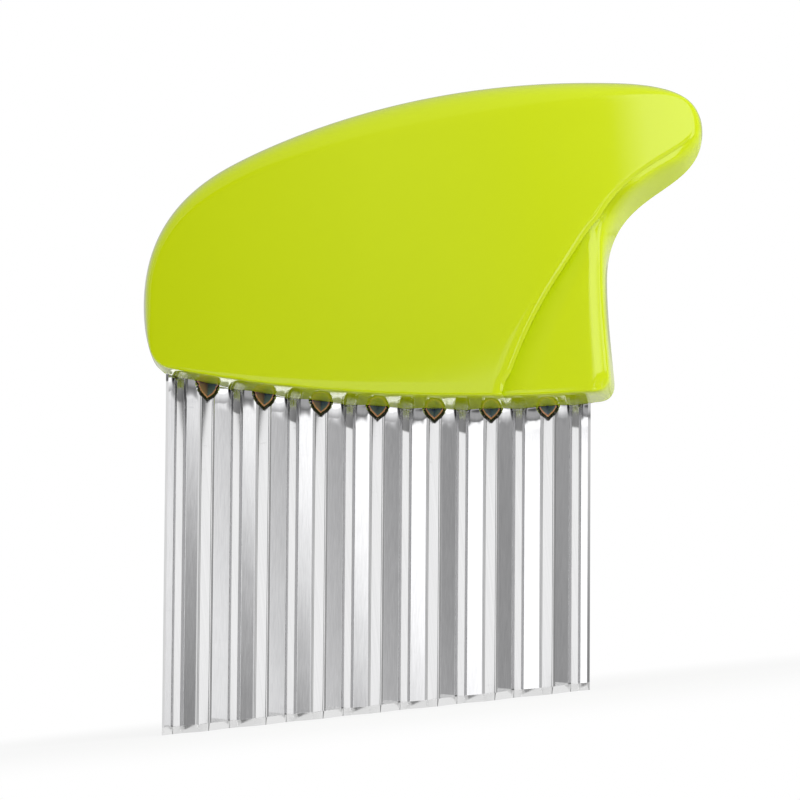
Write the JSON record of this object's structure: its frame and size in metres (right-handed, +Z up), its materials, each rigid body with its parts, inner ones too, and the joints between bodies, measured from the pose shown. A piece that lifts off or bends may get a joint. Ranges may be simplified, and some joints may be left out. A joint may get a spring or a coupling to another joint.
{
  "type": "crinkle cutter",
  "caption": "Hand-held crinkle cutter: a corrugated stainless blade with a slanted cutting edge under a glossy two-half plastic palm handle with a hooked nose.",
  "frame": {"origin": "middle of the bounding box in X and Y, at the height of the cutting edge", "axes": "+Z up from the cutting edge to the handle, X along the cutting edge with the nose towards +X, the front of the handle towards -Y"},
  "size_m": [0.1066, 0.024, 0.1075],
  "materials": {
    "handle_plastic": "glossy moulded lime-green plastic",
    "blade_steel": "polished stainless sheet with fine lengthwise rolling streaks and a ground edge"
  },
  "bodies": {
    "root": {"front_shell": "handle_plastic", "rear_shell": "handle_plastic", "wave_blade": "blade_steel"}
  },
  "joints": []
}
